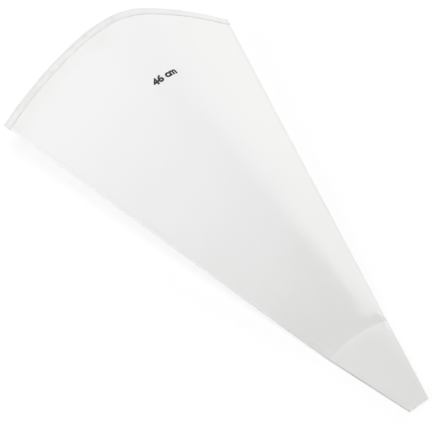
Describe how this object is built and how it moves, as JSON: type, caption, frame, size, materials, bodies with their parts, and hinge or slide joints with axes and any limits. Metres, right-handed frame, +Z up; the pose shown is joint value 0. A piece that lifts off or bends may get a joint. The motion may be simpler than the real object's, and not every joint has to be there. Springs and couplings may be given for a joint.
{
  "type": "piping bag",
  "caption": "Reusable coated-cotton piping bag: a tapering cloth cone lying part open on its back, with a stitched folded band round the mouth and a doubled tip for a nozzle.",
  "frame": {"origin": "on the bench, under the middle of the bag's box", "axes": "+X from the tip to the mouth, +Y across the bag, +Z up from the bench it lies on"},
  "size_m": [0.468, 0.2662, 0.088],
  "materials": {
    "coated_cotton": "fine plain weave with a thin smooth coating, dull sheen",
    "seam_cloth": "plain weave, folded edge",
    "tip_cloth": "plain weave, stiffened by the coating",
    "band_cloth": "plain weave, folded and pressed",
    "sewing_thread": "twisted cotton thread"
  },
  "bodies": {
    "root": {"front_panel": "coated_cotton", "back_panel": "coated_cotton", "left_seam": "seam_cloth", "right_seam": "seam_cloth", "front_tip_patch": "tip_cloth", "back_tip_patch": "tip_cloth", "mouth_band": "band_cloth", "outer_thread": "sewing_thread", "inner_thread": "sewing_thread"}
  },
  "joints": []
}
